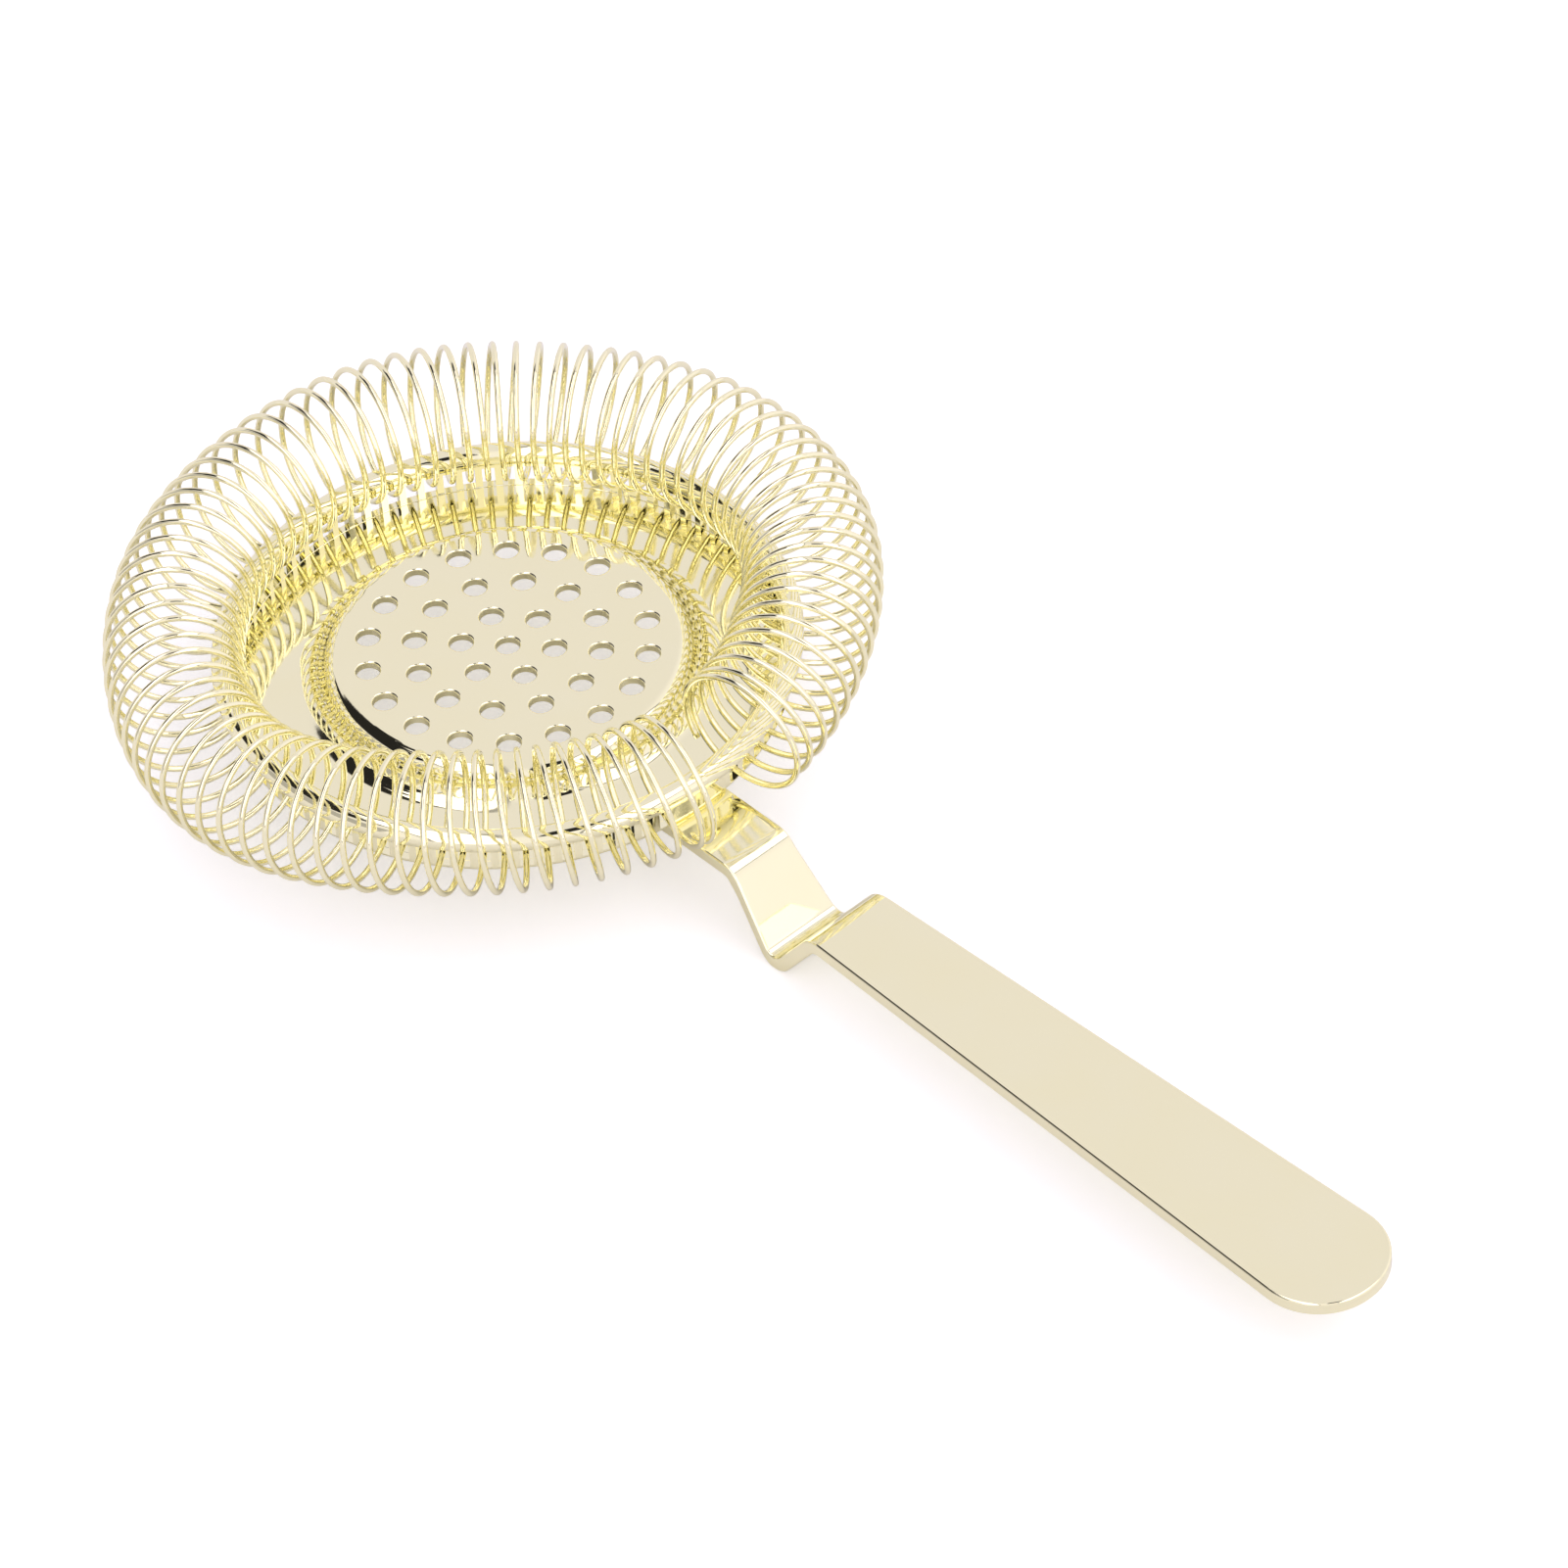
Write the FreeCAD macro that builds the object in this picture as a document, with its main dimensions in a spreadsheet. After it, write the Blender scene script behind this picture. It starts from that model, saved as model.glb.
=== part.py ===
"""Hawthorne strainer: a perforated plate, a bent handle strip and a coil spring.

Frame: origin at the centre of the perforated disc, on its top face; +Z up out of the disc,
+X along the handle. Millimetres and degrees.
"""
import FreeCAD, Part
import math
import os
import Sketcher

V = FreeCAD.Vector

DIMENSIONS = [
    ("sheet", 1.0, "thickness of the plate's sheet metal"),
    ("disc_radius", 22.35, "radius where the disc's top face would meet the step, without the rounding"),
    ("disc_round", 2.1, "rounding between disc and step"),
    ("step_slope", 72.0, "slope of the step, from level"),
    ("step_round", 3.6, "hollow rounding at the foot of the step"),
    ("ring_depth", 4.0, "flat ring below the disc"),
    ("wall_radius", 35.1, "outside of the upright wall"),
    ("wall_round", 1.2, "outside rounding where the ring turns up into the wall"),
    ("bead_radius", 1.42, "section of the rolled bead on the wall"),
    ("bead_middle", 35.08, "radius of the circle that the bead's middle follows"),
    ("bead_height", 0.45, "middle of the bead above the disc"),
    ("drain_diameter", 3.0, "drain holes"),
    ("drain_spacing", 5.83, "from one circle of drain holes to the next"),
    ("drain_turn", 38.7, "turn of the drain pattern from the handle's direction"),
    ("drain_round", 0.25, "rounding of the drain holes' top edges"),
    ("slot_count", 83, "slots in the wall"),
    ("slot_width", 1.6, "width of a slot, around the wall"),
    ("slot_upper", 1.0, "top of a slot below the disc"),
    ("slot_lower", 3.95, "bottom of a slot below the disc"),
    ("slot_start", 31.0, "radius where the cut for a slot begins, clear inside the wall"),
    ("gap_half", 9.25, "angle from the handle's direction to the first slot"),
    ("strip", 1.85, "thickness of the handle strip"),
    ("blank_width", 24.0, "width of the strip before its outline is cut"),
    ("tongue_start", 26.0, "inner end of the strip's hidden tongue"),
    ("tongue_half", 4.73, "half width of the tongue and neck"),
    ("dip_start", 44.97, "where the strip's top face turns down"),
    ("dip_depth", 9.81, "corner of the dip below the tongue's top face"),
    ("dip_slope", 52.0, "slope of both sides of the dip"),
    ("first_bend", 1.15, "inside radius of the bend into the dip"),
    ("dip_bend", 1.5, "inside radius of the bend at the bottom of the dip"),
    ("last_bend", 2.15, "inside radius of the bend out of the dip"),
    ("handle_depth", 5.95, "handle's top face below the disc"),
    ("flare_start", 46.0, "where the neck begins to flare"),
    ("flare_end", 52.0, "where the neck has flared"),
    ("flare_half", 5.65, "half width there"),
    ("grip_start", 60.0, "start of the handle's straight taper"),
    ("grip_half", 5.8, "half width there"),
    ("tip_half", 8.68, "half width that the taper would reach at the far end"),
    ("tip_round", 8.3, "rounding of the far end's two corners"),
    ("tip_end", 148.1, "far end of the handle"),
    ("flare_round", 8.0, "rounding of the outline's corners at the flare"),
    ("edge_round", 0.3, "rounding of the strip's long edges"),
    ("wire", 0.78, "diameter of the spring's wire"),
    ("loop_radius", 8.41, "radius of one turn, to the wire's middle"),
    ("thread_radius", 34.6, "radius where each turn crosses the wall"),
    ("thread_depth", 1.76, "least depth of that crossing below the disc"),
    ("thread_sag", 0.17, "how much deeper it is, per mm, where the coil stands further out"),
    ("coil_radius", 38.72, "mean radius of the line that the turns' middles follow"),
    ("lean", 0.7, "lean of a turn around the ring, as an angle"),
    ("end_spacing", 0.9, "from the last turn at each end to its neighbour"),
    ("end_turn", 0.9, "part of a turn beyond the outermost slot at each end"),
]

# The free spring isn't quite round: each wave adds size * cos(order * angle - crest) to its radius.
COIL_WAVES = [(1, 1.64, 234.9), (2, 1.18, 103.3), (3, 0.53, 223.1), (4, 0.73, -16.2)]
BIARCS_PER_TURN = 4
VOLUME_SLACK = 0.001

document = FreeCAD.newDocument("hawthorne_strainer")
sizes = document.addObject("Spreadsheet::Sheet", "sizes")
for row, (name, value, meaning) in enumerate(DIMENSIONS, start=1):
    sizes.set(f"A{row}", meaning)
    sizes.set(f"B{row}", str(value))
    sizes.setAlias(f"B{row}", name)
document.recompute()


def size(name):
    """The number in one cell of the sheet."""
    return float(sizes.get(name))


def origin_feature(body, role):
    """One of a body's own origin planes or axes."""
    return next(item for item in body.Origin.OriginFeatures if item.Role == role)


def new_body(label):
    """An empty body for one piece."""
    body = document.addObject("PartDesign::Body", label)
    body.Label = label
    body.Placement = FreeCAD.Placement()
    return body


def new_sketch(body, plane, name):
    """A sketch on one of the body's origin planes."""
    sketch = body.newObject("Sketcher::SketchObject", name)
    sketch.AttachmentSupport = [(origin_feature(body, plane), "")]
    sketch.MapMode = "FlatFace"
    return sketch


def hold(sketch, kind, geometry, point, expression):
    """Dimension a point from the sketch's origin, across (DistanceX) or up (DistanceY)."""
    if expression == "0":
        axis = -2 if kind == "DistanceX" else -1
        sketch.addConstraint(Sketcher.Constraint("PointOnObject", geometry, point, axis))
        return
    number = sketch.addConstraint(Sketcher.Constraint(kind, -1, 1, geometry, point, 1.0))
    sketch.setExpression(f"Constraints[{number}]", expression)


def add_polygon(sketch, corners):
    """A closed polygon; each corner is a pair of expressions, across and up."""
    count = len(corners)
    first = sketch.GeometryCount
    rough = [V(math.cos(math.tau * i / count), math.sin(math.tau * i / count), 0) for i in range(count)]
    for i in range(count):
        sketch.addGeometry(Part.LineSegment(rough[i], rough[(i + 1) % count]), False)
    for i in range(count):
        sketch.addConstraint(Sketcher.Constraint("Coincident", first + i, 2, first + (i + 1) % count, 1))
    for i, (across, up) in enumerate(corners):
        hold(sketch, "DistanceX", first + i, 1, across)
        hold(sketch, "DistanceY", first + i, 1, up)


def add_circle(sketch, across, up, radius):
    """A circle with its centre and radius given by expressions."""
    circle = sketch.addGeometry(Part.Circle(V(1, 1, 0), V(0, 0, 1), 1.0), False)
    number = sketch.addConstraint(Sketcher.Constraint("Radius", circle, 1.0))
    sketch.setExpression(f"Constraints[{number}]", radius)
    hold(sketch, "DistanceX", circle, 3, across)
    hold(sketch, "DistanceY", circle, 3, up)


def revolve(body, sketch, name):
    """A full turn of a sketch about its own upright axis."""
    feature = body.newObject("PartDesign::Revolution", name)
    feature.Profile = sketch
    feature.ReferenceAxis = (sketch, ["V_Axis"])
    feature.Angle = 360.0
    document.recompute()
    return feature


def cut_through(body, sketch, name, reverse=False):
    """A pocket that goes all the way; it has to take material away."""
    before = body.Shape.Volume
    feature = body.newObject("PartDesign::Pocket", name)
    feature.Profile = sketch
    feature.Type = "ThroughAll"
    feature.Reversed = reverse
    document.recompute()
    if body.Shape.Volume >= before:
        raise RuntimeError(f"{name} cuts nothing")
    return feature


def repeat_around(body, feature, name, count, angle):
    """Copies of a feature around the Z axis, over an angle in degrees."""
    pattern = body.newObject("PartDesign::PolarPattern", name)
    pattern.Originals = [feature]
    pattern.Axis = (origin_feature(body, "Z_Axis"), [""])
    pattern.setExpression("Angle", angle)
    pattern.setExpression("Occurrences", count)
    body.Tip = pattern
    document.recompute()
    return pattern


def round_edges(body, base, name, radius, wanted):
    """Round every edge of a feature for which wanted(edge) is true."""
    names = [f"Edge{i}" for i, edge in enumerate(base.Shape.Edges, start=1) if wanted(edge)]
    if not names:
        raise RuntimeError(f"{name} finds no edge")
    feature = body.newObject("PartDesign::Fillet", name)
    feature.Base = (base, names)
    feature.setExpression("Radius", radius)
    body.Tip = feature
    document.recompute()
    return feature


def is_circle(edge, radius, height, slack=0.02):
    """Whether an edge is a whole or part circle of this radius about Z at this height."""
    if not isinstance(edge.Curve, Part.Circle) or abs(edge.Curve.Center.z - height) > slack:
        return False
    on_axis = math.hypot(edge.Curve.Center.x, edge.Curve.Center.y) < slack
    return on_axis and abs(edge.Curve.Radius - radius) < slack


def is_crosswise(edge, across, height, slack=0.05):
    """Whether an edge is straight and runs along Y at this place."""
    box = edge.BoundBox
    thin = box.XLength < slack and box.ZLength < slack and box.YLength > 1
    return thin and abs(box.Center.x - across) < slack and abs(box.Center.z - height) < slack


def is_upright(edge, slack=0.001):
    """Whether an edge is straight and runs along Z."""
    box = edge.BoundBox
    return box.XLength < slack and box.YLength < slack and box.ZLength > 1


def is_long_edge(edge):
    """Whether an edge of the handle strip runs along its outline, top or bottom."""
    box = edge.BoundBox
    crosswise = box.XLength < 0.001 and box.Center.x < size("tip_end") - 1
    at_tongue_end = box.Center.x < size("tongue_start") + 0.01
    return not is_upright(edge) and not crosswise and not at_tongue_end


def build_plate():
    """The stamped plate: disc, step, flat ring, wall, bead, drain holes and slots."""
    body = new_body("strainer_plate")
    step_foot = "(sizes.disc_radius + sizes.ring_depth / tan(sizes.step_slope))"
    inset = "sizes.sheet * tan(sizes.step_slope / 2)"
    profile = new_sketch(body, "XZ_Plane", "plate_profile")
    add_polygon(profile, [
        ("0", "0"),
        ("sizes.disc_radius", "0"),
        (step_foot, "-sizes.ring_depth"),
        ("sizes.wall_radius - sizes.sheet", "-sizes.ring_depth"),
        ("sizes.wall_radius - sizes.sheet", "sizes.bead_height"),
        ("sizes.wall_radius", "sizes.bead_height"),
        ("sizes.wall_radius", "-sizes.ring_depth - sizes.sheet"),
        (f"{step_foot} - {inset}", "-sizes.ring_depth - sizes.sheet"),
        (f"sizes.disc_radius - {inset}", "-sizes.sheet"),
        ("0", "-sizes.sheet"),
    ])
    dish = revolve(body, profile, "dish")
    slope = math.radians(size("step_slope"))
    ring_top = -size("ring_depth")
    ring_under = ring_top - size("sheet")
    foot_radius = size("disc_radius") + size("ring_depth") / math.tan(slope)
    under_inset = size("sheet") * math.tan(slope / 2)
    last = round_edges(body, dish, "disc_edge", "sizes.disc_round",
                       lambda edge: is_circle(edge, size("disc_radius"), 0))
    last = round_edges(body, last, "disc_underside", "sizes.disc_round - sizes.sheet",
                       lambda edge: is_circle(edge, size("disc_radius") - under_inset, -size("sheet")))
    last = round_edges(body, last, "step_hollow", "sizes.step_round",
                       lambda edge: is_circle(edge, foot_radius, ring_top))
    last = round_edges(body, last, "step_underside", "sizes.step_round + sizes.sheet",
                       lambda edge: is_circle(edge, foot_radius - under_inset, ring_under))
    last = round_edges(body, last, "wall_foot", "sizes.wall_round",
                       lambda edge: is_circle(edge, size("wall_radius"), ring_under))
    last = round_edges(body, last, "wall_hollow", "sizes.wall_round - sizes.sheet",
                       lambda edge: is_circle(edge, size("wall_radius") - size("sheet"), ring_top))
    bead_profile = new_sketch(body, "XZ_Plane", "bead_profile")
    add_circle(bead_profile, "sizes.bead_middle", "sizes.bead_height", "sizes.bead_radius")
    revolve(body, bead_profile, "bead")

    middle = new_sketch(body, "XY_Plane", "middle_drain")
    add_circle(middle, "0", "0", "sizes.drain_diameter / 2")
    cut_through(body, middle, "middle_drain_hole")
    for circle in (1, 2, 3):
        sketch = new_sketch(body, "XY_Plane", f"drain_{circle}")
        add_circle(sketch, f"{circle} * sizes.drain_spacing * cos(sizes.drain_turn)",
                   f"{circle} * sizes.drain_spacing * sin(sizes.drain_turn)", "sizes.drain_diameter / 2")
        hole = cut_through(body, sketch, f"drain_{circle}_hole")
        last = repeat_around(body, hole, f"drain_{circle}_circle", str(6 * circle), "360")

    slot = new_sketch(body, "YZ_Plane", "slot_outline")
    slot.AttachmentOffset = FreeCAD.Placement(V(0, 0, 0), FreeCAD.Rotation(V(0, 1, 0), 1.0))
    slot.setExpression("AttachmentOffset.Base.x", "sizes.slot_start * sin(sizes.gap_half)")
    slot.setExpression("AttachmentOffset.Base.z", "sizes.slot_start * cos(sizes.gap_half)")
    slot.setExpression("AttachmentOffset.Rotation.Angle", "sizes.gap_half")
    add_polygon(slot, [
        ("-sizes.slot_width / 2", "-sizes.slot_lower"),
        ("sizes.slot_width / 2", "-sizes.slot_lower"),
        ("sizes.slot_width / 2", "-sizes.slot_upper"),
        ("-sizes.slot_width / 2", "-sizes.slot_upper"),
    ])
    opening = cut_through(body, slot, "slot", reverse=True)
    last = repeat_around(body, opening, "slots", "sizes.slot_count", "360 - 2 * sizes.gap_half")
    round_edges(body, last, "drain_edges", "sizes.drain_round",
                lambda edge: isinstance(edge.Curve, Part.Circle)
                and abs(edge.Curve.Radius - size("drain_diameter") / 2) < 0.01
                and abs(edge.Curve.Center.z) < 0.01)
    return body


def build_handle():
    """The strip: tongue under the flat ring, dip behind the rim, flat handle with a round tip."""
    body = new_body("handle_strip")
    tongue_top = "-sizes.ring_depth - sizes.sheet"
    fall = "sizes.dip_depth / tan(sizes.dip_slope)"
    rise = ("(sizes.ring_depth + sizes.sheet + sizes.dip_depth - sizes.handle_depth)"
            " / tan(sizes.dip_slope)")
    inset = "sizes.strip * tan(sizes.dip_slope / 2)"
    dip_across = f"sizes.dip_start + {fall}"
    rise_across = f"{dip_across} + {rise}"
    profile = new_sketch(body, "XZ_Plane", "strip_profile")
    add_polygon(profile, [
        ("sizes.tongue_start", tongue_top),
        ("sizes.dip_start", tongue_top),
        (dip_across, f"{tongue_top} - sizes.dip_depth"),
        (rise_across, "-sizes.handle_depth"),
        ("sizes.tip_end", "-sizes.handle_depth"),
        ("sizes.tip_end", "-sizes.handle_depth - sizes.strip"),
        (f"{rise_across} + {inset}", "-sizes.handle_depth - sizes.strip"),
        (dip_across, f"{tongue_top} - sizes.dip_depth - sizes.strip / cos(sizes.dip_slope)"),
        (f"sizes.dip_start - {inset}", f"{tongue_top} - sizes.strip"),
        ("sizes.tongue_start", f"{tongue_top} - sizes.strip"),
    ])
    strip = body.newObject("PartDesign::Pad", "strip")
    strip.Profile = profile
    strip.SideType = "Symmetric"
    strip.setExpression("Length", "sizes.blank_width")
    document.recompute()

    slope = math.radians(size("dip_slope"))
    top = -size("ring_depth") - size("sheet")
    dip_height = top - size("dip_depth")
    handle_top = -size("handle_depth")
    shift = size("strip") * math.tan(slope / 2)
    dip_x = size("dip_start") + size("dip_depth") / math.tan(slope)
    rise_x = dip_x + (handle_top - dip_height) / math.tan(slope)
    bends = [
        ("first_bend_inside", "sizes.first_bend", size("dip_start") - shift, top - size("strip")),
        ("first_bend_outside", "sizes.first_bend + sizes.strip", size("dip_start"), top),
        ("dip_bend_inside", "sizes.dip_bend", dip_x, dip_height),
        ("dip_bend_outside", "sizes.dip_bend + sizes.strip", dip_x,
         dip_height - size("strip") / math.cos(slope)),
        ("last_bend_inside", "sizes.last_bend", rise_x + shift, handle_top - size("strip")),
        ("last_bend_outside", "sizes.last_bend + sizes.strip", rise_x, handle_top),
    ]
    last = strip
    for name, radius, across, height in bends:
        last = round_edges(body, last, name, radius,
                           lambda edge, a=across, b=height: is_crosswise(edge, a, b))

    outline = new_sketch(body, "XY_Plane", "strip_outline")
    side = [
        ("sizes.tongue_start - 1", "sizes.tongue_half"),
        ("sizes.flare_start", "sizes.tongue_half"),
        ("sizes.flare_end", "sizes.flare_half"),
        ("sizes.grip_start", "sizes.grip_half"),
        ("sizes.tip_end + 1", "sizes.tip_half"),
    ]
    other_side = [(across, f"-{up}") for across, up in reversed(side)]
    add_polygon(outline, side + other_side)
    add_polygon(outline, [
        ("sizes.tongue_start - 5", "sizes.blank_width"),
        ("sizes.tip_end + 5", "sizes.blank_width"),
        ("sizes.tip_end + 5", "-sizes.blank_width"),
        ("sizes.tongue_start - 5", "-sizes.blank_width"),
    ])
    trimmed = cut_through(body, outline, "trimmed_sides")
    last = round_edges(body, trimmed, "round_tip", "sizes.tip_round",
                       lambda edge: is_upright(edge) and edge.BoundBox.Center.x > size("tip_end") - 1)
    last = round_edges(body, last, "round_flare", "sizes.flare_round",
                       lambda edge: is_upright(edge)
                       and size("flare_start") - 1 < edge.BoundBox.Center.x < size("grip_start") + 1)
    round_edges(body, last, "soft_edges", "sizes.edge_round", is_long_edge)
    return body


def coil_point(turns):
    """A point of the wire's middle line; turns is whole where the wire crosses the wall."""
    last_slot = size("slot_count") - 1
    pitch = (360 - 2 * size("gap_half")) / last_slot
    inside = min(max(turns, 0.0), last_slot)
    angle = size("gap_half") + pitch * inside
    middle = size("coil_radius") + sum(wave * math.cos(math.radians(order * angle - crest))
                                       for order, wave, crest in COIL_WAVES)
    reach = size("thread_radius") - middle
    outward = middle - size("coil_radius")
    crossing = -size("thread_depth") - size("thread_sag") * (outward + math.hypot(outward, 1))
    height = crossing + math.sqrt(size("loop_radius") ** 2 - reach ** 2)
    start = math.atan2(crossing - height, reach)
    around = start - math.tau * turns
    radius = middle + size("loop_radius") * math.cos(around)
    angle -= size("lean") * (math.sin(around) - math.sin(start))
    angle += math.degrees(size("end_spacing") / radius) * (turns - inside)
    return V(radius * math.cos(math.radians(angle)), radius * math.sin(math.radians(angle)),
             height + size("loop_radius") * math.sin(around))


def coil_direction(turns, step=1e-4):
    """The wire's direction there."""
    ahead = coil_point(turns + step) - coil_point(turns - step)
    return ahead.normalize()


def biarc(start, start_way, end, end_way):
    """Two tangent arcs between two points with given directions, as corner, joint, corner, end."""
    chord = end - start
    ways = start_way + end_way
    a = ways.dot(ways) - 4
    b = -2 * chord.dot(ways)
    c = chord.dot(chord)
    reach = -c / b if abs(a) < 1e-9 else (-b - math.sqrt(b * b - 4 * a * c)) / (2 * a)
    first_corner = start + start_way * reach
    last_corner = end - end_way * reach
    return first_corner, (first_corner + last_corner) * 0.5, last_corner


def wire_piece(start, corner, end, radius):
    """The wire's skin along one arc, which is tangent at start and end to the lines to corner."""
    inward = (start - corner).normalize()
    onward = (end - corner).normalize()
    axis = inward.cross(onward).normalize()
    half = math.acos(max(-1.0, min(1.0, inward.dot(onward)))) / 2
    centre = corner + (inward + onward).normalize() * ((start - corner).Length / math.cos(half))
    section = Part.Edge(Part.Circle(start, inward, radius))
    turn = 180 - math.degrees(2 * half)
    return section.revolve(centre, axis, -turn)


def build_spring():
    """One wire: a chain of tangent arcs, each arc's skin a part of a torus, closed at both ends."""
    radius = size("wire") / 2
    first = -size("end_turn")
    final = size("slot_count") - 1 + size("end_turn")
    count = round((final - first) * BIARCS_PER_TURN)
    places = [first + (final - first) * i / count for i in range(count + 1)]
    points = [coil_point(place) for place in places]
    ways = [coil_direction(place) for place in places]
    skins = []
    length = 0.0
    for i in range(count):
        one, joint, two = biarc(points[i], ways[i], points[i + 1], ways[i + 1])
        for start, corner, end in ((points[i], one, joint), (joint, two, points[i + 1])):
            skins.append(wire_piece(start, corner, end, radius))
            length += skins[-1].Area / (math.tau * radius)
    for point, way in ((points[0], ways[0]), (points[-1], ways[-1])):
        skins.append(Part.Face(Part.Wire(Part.Edge(Part.Circle(point, way, radius)))))
    shell = Part.Shell([face for skin in skins for face in skin.Faces])
    shell.sewShape()
    solid = Part.Solid(shell)
    expected = length * math.pi * radius ** 2
    if abs(solid.Volume - expected) > VOLUME_SLACK * expected:
        raise RuntimeError(f"the wire's volume is {solid.Volume}, not {expected}")
    spring = document.addObject("Part::Feature", "coil_spring")
    spring.Label = "coil_spring"
    spring.Shape = solid
    spring.Placement = FreeCAD.Placement()
    print("wire length", round(length, 1), "mm")
    return spring


def check_document(pieces):
    """Stop if a feature has failed or a piece isn't a sound shape."""
    for item in document.Objects:
        if "Invalid" in item.State or "Error" in item.State:
            raise RuntimeError(f"{item.Name} has failed: {item.State}")
    for piece in pieces:
        if piece.Shape.isNull() or not piece.Shape.isValid():
            raise RuntimeError(f"{piece.Label} has no valid shape")


pieces = [build_plate(), build_handle(), build_spring()]
document.recompute()
check_document(pieces)
os.makedirs("parts", exist_ok=True)
for piece in pieces:
    piece.Shape.exportStep(f"parts/{piece.Label}.step")
    print(piece.Label, round(piece.Shape.Volume, 1), "mm3,", piece.Shape.BoundBox)
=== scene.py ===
"""Looks of the hawthorne strainer: pale gold plating, polished, with a soft grain on the flat faces.

Everything is in the CAD part's frame: origin at the middle of the perforated disc's top face,
+X along the handle, +Z up. Blender works in metres; the sizes below are in the units they name.
"""
import bpy
import math
from mathutils import Matrix, Vector


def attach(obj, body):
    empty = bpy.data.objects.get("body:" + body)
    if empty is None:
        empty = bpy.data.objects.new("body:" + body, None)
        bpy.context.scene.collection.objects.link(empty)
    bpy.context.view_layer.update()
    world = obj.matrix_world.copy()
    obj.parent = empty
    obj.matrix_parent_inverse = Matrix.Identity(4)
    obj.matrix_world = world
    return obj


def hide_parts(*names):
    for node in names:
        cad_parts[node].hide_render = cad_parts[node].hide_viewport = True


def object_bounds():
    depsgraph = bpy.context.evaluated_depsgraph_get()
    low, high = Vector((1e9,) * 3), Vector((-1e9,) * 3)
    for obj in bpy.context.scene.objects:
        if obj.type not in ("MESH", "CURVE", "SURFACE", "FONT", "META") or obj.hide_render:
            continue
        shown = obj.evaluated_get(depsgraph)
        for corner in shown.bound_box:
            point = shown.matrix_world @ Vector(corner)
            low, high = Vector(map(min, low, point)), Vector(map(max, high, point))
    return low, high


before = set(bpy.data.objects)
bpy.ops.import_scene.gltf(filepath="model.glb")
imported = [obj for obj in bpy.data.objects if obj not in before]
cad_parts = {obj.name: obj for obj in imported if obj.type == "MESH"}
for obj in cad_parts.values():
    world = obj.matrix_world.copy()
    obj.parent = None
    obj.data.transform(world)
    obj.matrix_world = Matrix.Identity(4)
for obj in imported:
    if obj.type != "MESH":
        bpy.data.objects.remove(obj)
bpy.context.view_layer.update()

MM = 0.001

# Camera: where it looks from, in degrees and metres, and how far it is rolled.
TARGET = Vector((0.04277, 0.00659, 0.0))
VIEW_AZIMUTH = -39.913
VIEW_ELEVATION = 43.48
VIEW_DISTANCE = 1.14577
VIEW_ROLL = -4.48
LENS = 218.07
SENSOR = 36.0
CLIP_END = 20.0

# The spring, in mm and degrees, as the CAD part has it.
SLOTS = 83
GAP_HALF = 9.25
WIRE_RADIUS = 0.39
LOOP_RADIUS = 8.41
THREAD_RADIUS = 34.6
THREAD_DEPTH = 1.76
THREAD_SAG = 0.17
COIL_RADIUS = 38.72
LEAN = 0.7
END_SPACING = 0.9
END_TURN = 0.9
# The free spring isn't quite round: each wave adds size * cos(order * angle - crest) to its radius.
COIL_WAVES = [(1, 1.64, 234.9), (2, 1.18, 103.3), (3, 0.53, 223.1), (4, 0.73, -16.2)]
RINGS_PER_TURN = 72
SIDES = 20

# Plating: its colour where it is thick and where it is thin, and cells per metre of its cloudy tint,
# its specks and its soft waviness.
GOLD = (0.98, 0.93, 0.6, 1.0)
PALE_GOLD = (0.985, 0.945, 0.65, 1.0)
CLOUD_SCALE = 120.0
SPECK_SCALE = 2600.0
PEEL_SCALE = 700.0
# How much the cloud and the specks each do to the wear, and the wear from polished to dull.
WORN_CLOUD = 0.6
WORN_SPECK = 0.4
WORN_RANGE = (0.3, 0.7)

# Studio. A patch of the surroundings is bounded in degrees around an axis that points to the camera's
# right (0 is up, 90 is towards the camera, -90 is away from it) and by how far it leans to that right,
# as the sine of an angle. The tent brightens to its right and to its front, over the same range.
TENT = 0.84
TENT_RIGHT = 0.16
TENT_FRONT = 0.14
BRIGHTENS = (0.1, 0.7)
TENT_COLOUR = (1.0, 0.955, 1.08, 1.0)
LAMP = 2.0
LAMP_RIM = 0.35
RIM_ANGLE = 3.0
RIM_LEAN = 0.035
LAMPS = [(-24, 82, -0.48, -0.1), (-19, 82, 0.36, 0.66)]
# The camera's dark shape, then the tent's dark opening, which goes round two sides of the left lamp.
SHADES = [(10, 44, 0.08, 0.3), (-42, -13, -0.56, -0.315), (-42, -24, -0.4, -0.15),
          (-14, -2, -0.56, -0.42), (-3, 16, -0.56, -0.49), (-52, 16, -0.8, -0.52)]
# A dim stretch of the tent's wall: its azimuth and elevation limits, in degrees.
DIM_SIDE = (-140, -88, -5, 34)
DIM = 0.45
DARK = 0.02
# Half the width of a patch's blurred edges: round the axis in degrees, and along it as a sine.
PATCH_BLUR = 1.0
LEAN_BLUR = 0.01
FLOOR_SIZE = 6.0
FLOOR_ROUGHNESS = 0.9
FLOOR_COLOUR = (0.85, 0.84, 0.83, 1.0)
FLOOR_GLOW = 0.38


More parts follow.
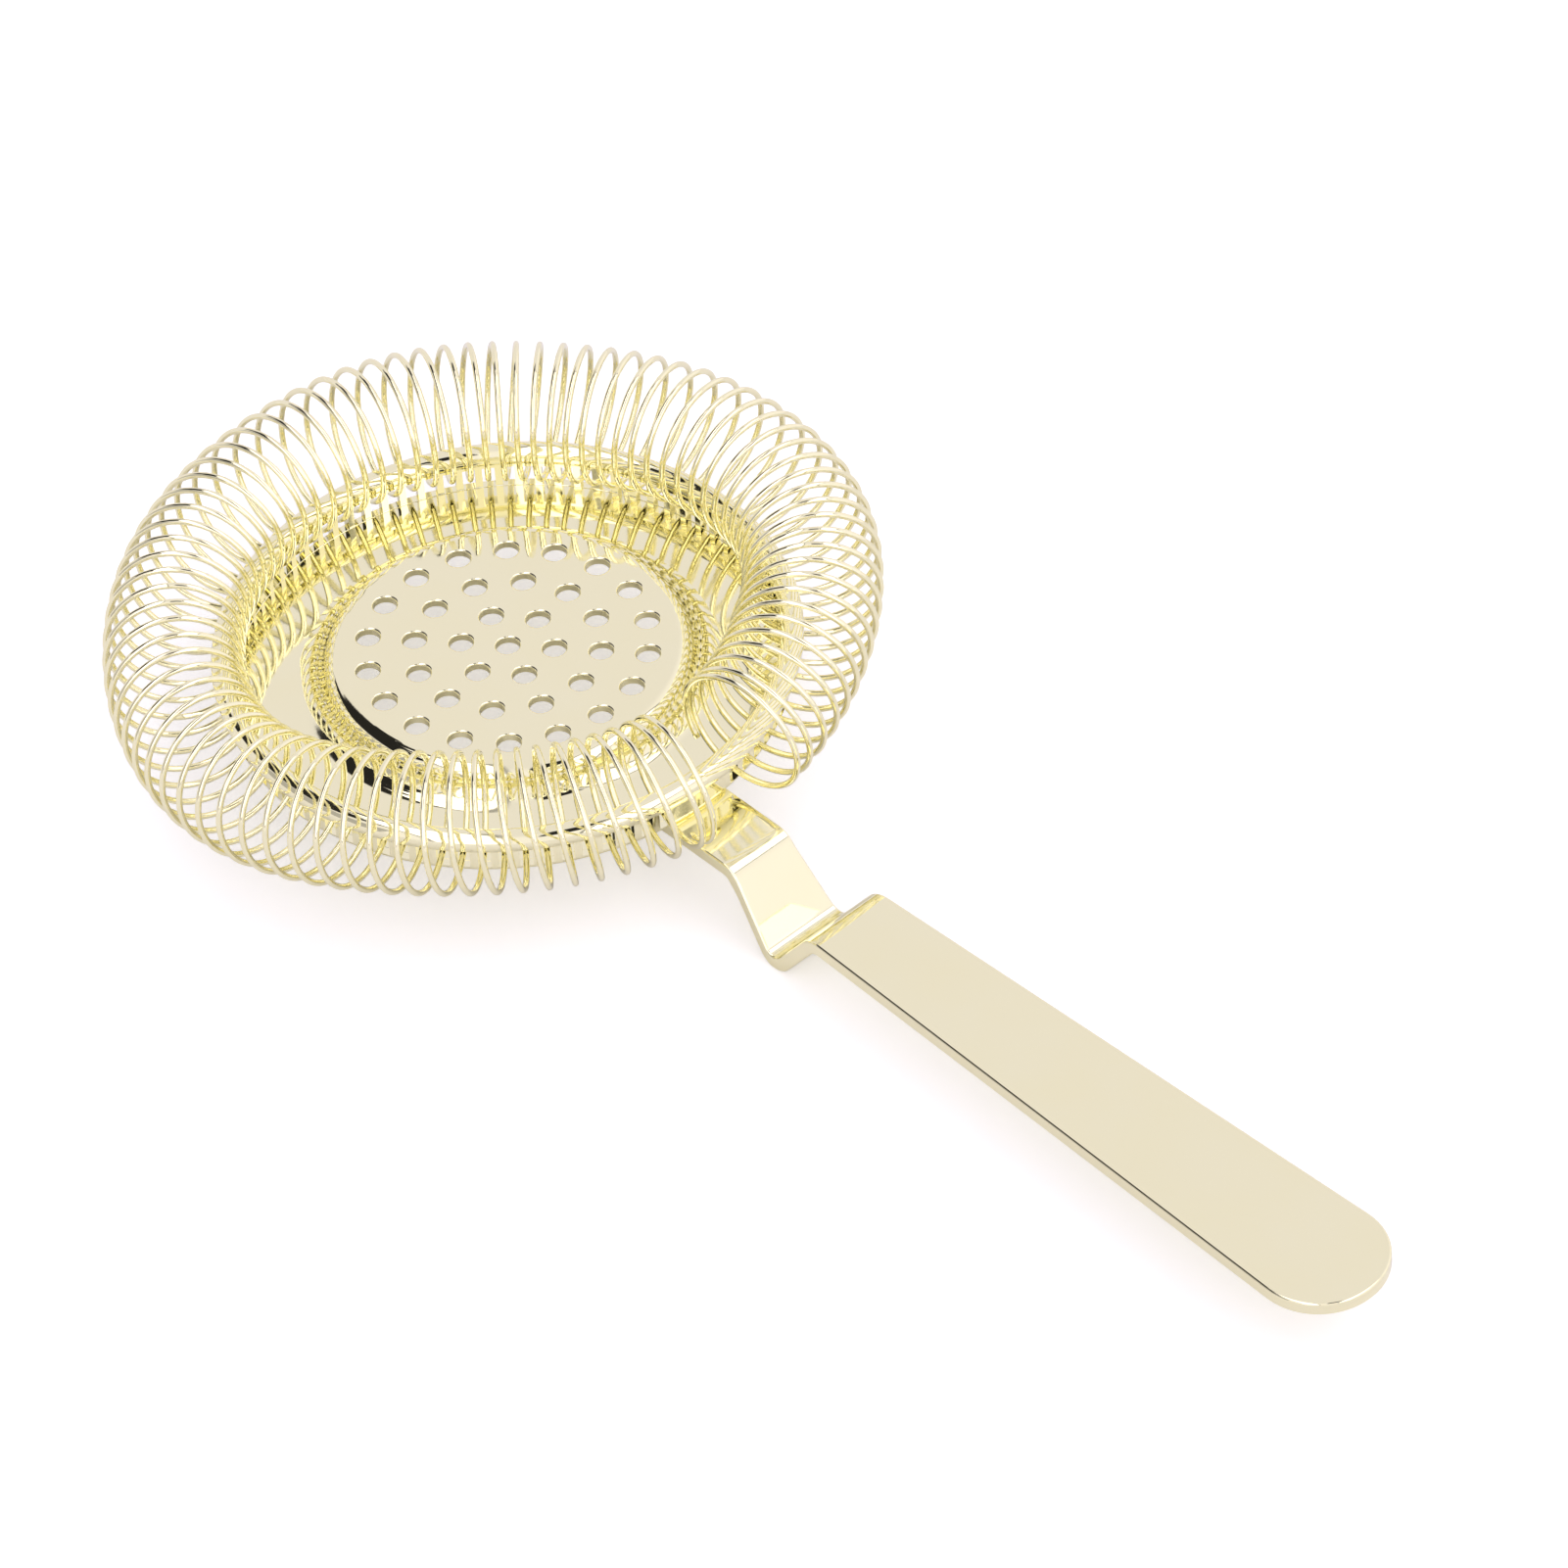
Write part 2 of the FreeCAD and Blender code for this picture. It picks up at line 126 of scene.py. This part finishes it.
def coil_point(turns):
    """A point of the wire's middle line, in mm; turns is whole where the wire crosses the wall."""
    last_slot = SLOTS - 1
    inside = min(max(turns, 0.0), last_slot)
    angle = GAP_HALF + (360 - 2 * GAP_HALF) / last_slot * inside
    middle = COIL_RADIUS + sum(wave * math.cos(math.radians(order * angle - crest))
                               for order, wave, crest in COIL_WAVES)
    reach = THREAD_RADIUS - middle
    outward = middle - COIL_RADIUS
    crossing = -THREAD_DEPTH - THREAD_SAG * (outward + math.hypot(outward, 1))
    height = crossing + math.sqrt(LOOP_RADIUS ** 2 - reach ** 2)
    start = math.atan2(crossing - height, reach)
    around = start - math.tau * turns
    radius = middle + LOOP_RADIUS * math.cos(around)
    angle -= LEAN * (math.sin(around) - math.sin(start))
    angle += math.degrees(END_SPACING / radius) * (turns - inside)
    return Vector((radius * math.cos(math.radians(angle)), radius * math.sin(math.radians(angle)),
                   height + LOOP_RADIUS * math.sin(around)))


def build_spring():
    """The wire as one smooth tube, closed at both ends."""
    first, final = -END_TURN, SLOTS - 1 + END_TURN
    count = round((final - first) * RINGS_PER_TURN)
    path = [coil_point(first + (final - first) * i / count) for i in range(count + 1)]
    verts, faces = [], []
    side = None
    for i, point in enumerate(path):
        way = (path[min(i + 1, count)] - path[max(i - 1, 0)]).normalized()
        if side is None:
            side = way.orthogonal().normalized()
        side = (side - way * side.dot(way)).normalized()
        other = way.cross(side)
        for k in range(SIDES):
            a = math.tau * k / SIDES
            verts.append((point + (side * math.cos(a) + other * math.sin(a)) * WIRE_RADIUS) * MM)
    for i in range(count):
        for k in range(SIDES):
            a, b = i * SIDES + k, i * SIDES + (k + 1) % SIDES
            faces.append((a, b, b + SIDES, a + SIDES))
    faces.append(tuple(reversed(range(SIDES))))
    faces.append(tuple(range(count * SIDES, (count + 1) * SIDES)))
    mesh = bpy.data.meshes.new("spring_wire")
    mesh.from_pydata(verts, [], faces)
    mesh.shade_smooth()
    spring = bpy.data.objects.new("spring_wire", mesh)
    bpy.context.collection.objects.link(spring)
    return spring


def add_node(tree, kind, settings=None, **inputs):
    """A node with its settings and inputs; an input is a constant or another node's output."""
    node = tree.nodes.new(kind)
    for name, value in (settings or {}).items():
        setattr(node, name, value)
    for name, value in inputs.items():
        socket = node.inputs[name.replace("_", " ")]
        if isinstance(value, bpy.types.NodeSocket):
            tree.links.new(value, socket)
        else:
            socket.default_value = value
    return node


def maths(tree, operation, *values):
    """One sum; each value is a constant or another node's output."""
    node = tree.nodes.new("ShaderNodeMath")
    node.operation = operation
    for socket, value in zip(node.inputs, values):
        if isinstance(value, bpy.types.NodeSocket):
            tree.links.new(value, socket)
        else:
            socket.default_value = value
    return node.outputs[0]


def within(tree, value, low, high, blur):
    """1 where the value is between low and high, 0 outside, with blurred edges."""
    sides = []
    for edge, way in ((low, 1), (high, -1)):
        node = add_node(tree, "ShaderNodeMapRange", {"interpolation_type": "SMOOTHSTEP"}, Value=value,
                        From_Min=edge - way * blur, From_Max=edge + way * blur)
        sides.append(node.outputs["Result"])
    return maths(tree, "MULTIPLY", *sides)


def noise(tree, place, scale, detail, stretch=(1, 1, 1)):
    """Noise at a number of cells per metre, stretched along an axis where that factor is small."""
    moved = add_node(tree, "ShaderNodeMapping", Vector=place, Scale=stretch)
    node = add_node(tree, "ShaderNodeTexNoise", Vector=moved.outputs["Vector"], Scale=scale,
                    Detail=detail)
    return node.outputs["Fac"]


def gold(name, smooth, rough, grain_scale, grain_stretch, grain_depth, peel_depth):
    """Pale gold plating: tint and roughness vary over it, with a fine grain and a soft waviness.

    The two depths are in mm.
    """
    material = bpy.data.materials.new(name)
    material.use_nodes = True
    tree = material.node_tree
    shader = tree.nodes["Principled BSDF"]
    shader.inputs["Metallic"].default_value = 1.0
    place = add_node(tree, "ShaderNodeTexCoord").outputs["Object"]
    cloud = noise(tree, place, CLOUD_SCALE, detail=3.0)
    speck = noise(tree, place, SPECK_SCALE, detail=2.0)
    grain = noise(tree, place, grain_scale, detail=3.0, stretch=grain_stretch)
    peel = noise(tree, place, PEEL_SCALE, detail=2.0)
    tint = add_node(tree, "ShaderNodeMix", {"data_type": "RGBA"}, Factor=cloud)
    tint.inputs[6].default_value = GOLD
    tint.inputs[7].default_value = PALE_GOLD
    tree.links.new(tint.outputs[2], shader.inputs["Base Color"])
    worn = maths(tree, "MULTIPLY_ADD", cloud, WORN_CLOUD, maths(tree, "MULTIPLY", speck, WORN_SPECK))
    blend = add_node(tree, "ShaderNodeMapRange", Value=worn, From_Min=WORN_RANGE[0],
                     From_Max=WORN_RANGE[1], To_Min=smooth, To_Max=rough)
    tree.links.new(blend.outputs["Result"], shader.inputs["Roughness"])
    waves = add_node(tree, "ShaderNodeBump", Height=peel, Distance=peel_depth * MM, Strength=1.0)
    lines = add_node(tree, "ShaderNodeBump", Height=grain, Distance=grain_depth * MM, Strength=1.0,
                     Normal=waves.outputs["Normal"])
    tree.links.new(lines.outputs["Normal"], shader.inputs["Normal"])
    return material


def dress(obj, material):
    """Give an object one material."""
    obj.data.materials.clear()
    obj.data.materials.append(material)


def build_floor():
    """A plain pale floor under the lowest point, lifted to white by a glow that only the camera sees."""
    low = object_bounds()[0][2]
    corners = [(x * FLOOR_SIZE, y * FLOOR_SIZE, low) for x, y in ((-1, -1), (1, -1), (1, 1), (-1, 1))]
    mesh = bpy.data.meshes.new("floor")
    mesh.from_pydata(corners, [], [(0, 1, 2, 3)])
    floor = bpy.data.objects.new("floor", mesh)
    bpy.context.collection.objects.link(floor)
    paper = bpy.data.materials.new("paper")
    paper.use_nodes = True
    tree = paper.node_tree
    shader = tree.nodes["Principled BSDF"]
    shader.inputs["Base Color"].default_value = FLOOR_COLOUR
    shader.inputs["Roughness"].default_value = FLOOR_ROUGHNESS
    shader.inputs["Emission Color"].default_value = (1, 1, 1, 1)
    seen = add_node(tree, "ShaderNodeLightPath").outputs["Is Camera Ray"]
    tree.links.new(maths(tree, "MULTIPLY", seen, FLOOR_GLOW), shader.inputs["Emission Strength"])
    dress(floor, paper)


def build_studio():
    """A pale tent with two big lamps, the camera's shape between them and a dark opening at the left."""
    world = bpy.data.worlds.new("studio")
    bpy.context.scene.world = world
    world.use_nodes = True
    tree = world.node_tree
    direction = add_node(tree, "ShaderNodeTexCoord").outputs["Generated"]
    split = add_node(tree, "ShaderNodeSeparateXYZ", Vector=direction)
    x, y, z = split.outputs["X"], split.outputs["Y"], split.outputs["Z"]
    facing = math.radians(VIEW_AZIMUTH)
    ahead = add_node(tree, "ShaderNodeVectorMath", {"operation": "DOT_PRODUCT"})
    tree.links.new(direction, ahead.inputs[0])
    ahead.inputs[1].default_value = (math.cos(facing), math.sin(facing), 0)
    across = add_node(tree, "ShaderNodeVectorMath", {"operation": "DOT_PRODUCT"})
    tree.links.new(direction, across.inputs[0])
    across.inputs[1].default_value = (-math.sin(facing), math.cos(facing), 0)
    tip = maths(tree, "ARCTAN2", ahead.outputs["Value"], z)
    lean = across.outputs["Value"]
    azimuth = maths(tree, "ARCTAN2", y, x)
    elevation = maths(tree, "ARCSINE", z)

    def patch(limits, grow=(0.0, 0.0)):
        """1 inside limits on tip and lean, which may be grown by degrees and by a sine."""
        low, high, left, right = limits
        turned = within(tree, tip, math.radians(low - grow[0]), math.radians(high + grow[0]),
                        math.radians(PATCH_BLUR))
        return maths(tree, "MULTIPLY", turned,
                     within(tree, lean, left - grow[1], right + grow[1], LEAN_BLUR))

    def wall_patch(limits):
        """1 inside limits on azimuth and elevation."""
        low, high, bottom, top = (math.radians(limit) for limit in limits)
        blur = math.radians(PATCH_BLUR)
        return maths(tree, "MULTIPLY", within(tree, azimuth, low, high, blur),
                     within(tree, elevation, bottom, top, blur))

    def fade_to(strength, level, mask):
        """strength outside the mask, level inside it."""
        return maths(tree, "MULTIPLY_ADD", mask, maths(tree, "SUBTRACT", level, strength), strength)

    strength = TENT
    for way, gain in ((lean, TENT_RIGHT), (ahead.outputs["Value"], TENT_FRONT)):
        rise = add_node(tree, "ShaderNodeMapRange", {"interpolation_type": "SMOOTHSTEP"}, Value=way,
                        From_Min=BRIGHTENS[0], From_Max=BRIGHTENS[1])
        strength = maths(tree, "MULTIPLY_ADD", rise.outputs["Result"], gain, strength)
    strength = fade_to(strength, DIM, wall_patch(DIM_SIDE))
    for limits in LAMPS:
        strength = fade_to(strength, LAMP_RIM, patch(limits, (RIM_ANGLE, RIM_LEAN)))
        strength = fade_to(strength, LAMP, patch(limits))
    for limits in SHADES:
        strength = fade_to(strength, DARK, patch(limits))
    shader = tree.nodes["Background"]
    shader.inputs["Color"].default_value = TENT_COLOUR
    tree.links.new(strength, shader.inputs["Strength"])
    seen = add_node(tree, "ShaderNodeBackground", Color=(1, 1, 1, 1), Strength=1.0)
    path = add_node(tree, "ShaderNodeLightPath")
    mix = add_node(tree, "ShaderNodeMixShader", Fac=path.outputs["Is Camera Ray"])
    tree.links.new(shader.outputs["Background"], mix.inputs[1])
    tree.links.new(seen.outputs["Background"], mix.inputs[2])
    tree.links.new(mix.outputs["Shader"], tree.nodes["World Output"].inputs["Surface"])


def build_camera():
    """The camera, at the viewing angle above."""
    azimuth, elevation = math.radians(VIEW_AZIMUTH), math.radians(VIEW_ELEVATION)
    away = Vector((math.cos(azimuth) * math.cos(elevation), math.sin(azimuth) * math.cos(elevation),
                   math.sin(elevation)))
    camera = bpy.data.objects.new("camera", bpy.data.cameras.new("camera"))
    bpy.context.collection.objects.link(camera)
    camera.data.lens = LENS
    camera.data.sensor_width = SENSOR
    camera.data.clip_end = CLIP_END
    turn = away.to_track_quat("Z", "Y").to_matrix().to_4x4()
    turn = turn @ Matrix.Rotation(math.radians(VIEW_ROLL), 4, "Z")
    camera.matrix_world = Matrix.Translation(TARGET + away * VIEW_DISTANCE) @ turn
    bpy.context.scene.camera = camera


build_camera()
spring = build_spring()
dress(spring, gold("wire_gold", smooth=0.03, rough=0.09, grain_scale=1500.0, grain_stretch=(1, 1, 1),
                   grain_depth=0.0015, peel_depth=0.004))
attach(spring, "spring")
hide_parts("coil_spring")
dress(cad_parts["strainer_plate"],
      gold("plate_gold", smooth=0.03, rough=0.08, grain_scale=1800.0, grain_stretch=(1, 1, 1),
           grain_depth=0.0008, peel_depth=0.003))
dress(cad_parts["handle_strip"],
      gold("handle_gold", smooth=0.04, rough=0.1, grain_scale=2500.0, grain_stretch=(0.06, 1, 1),
           grain_depth=0.0008, peel_depth=0.003))
build_floor()
build_studio()
bpy.context.scene.view_settings.view_transform = "Standard"
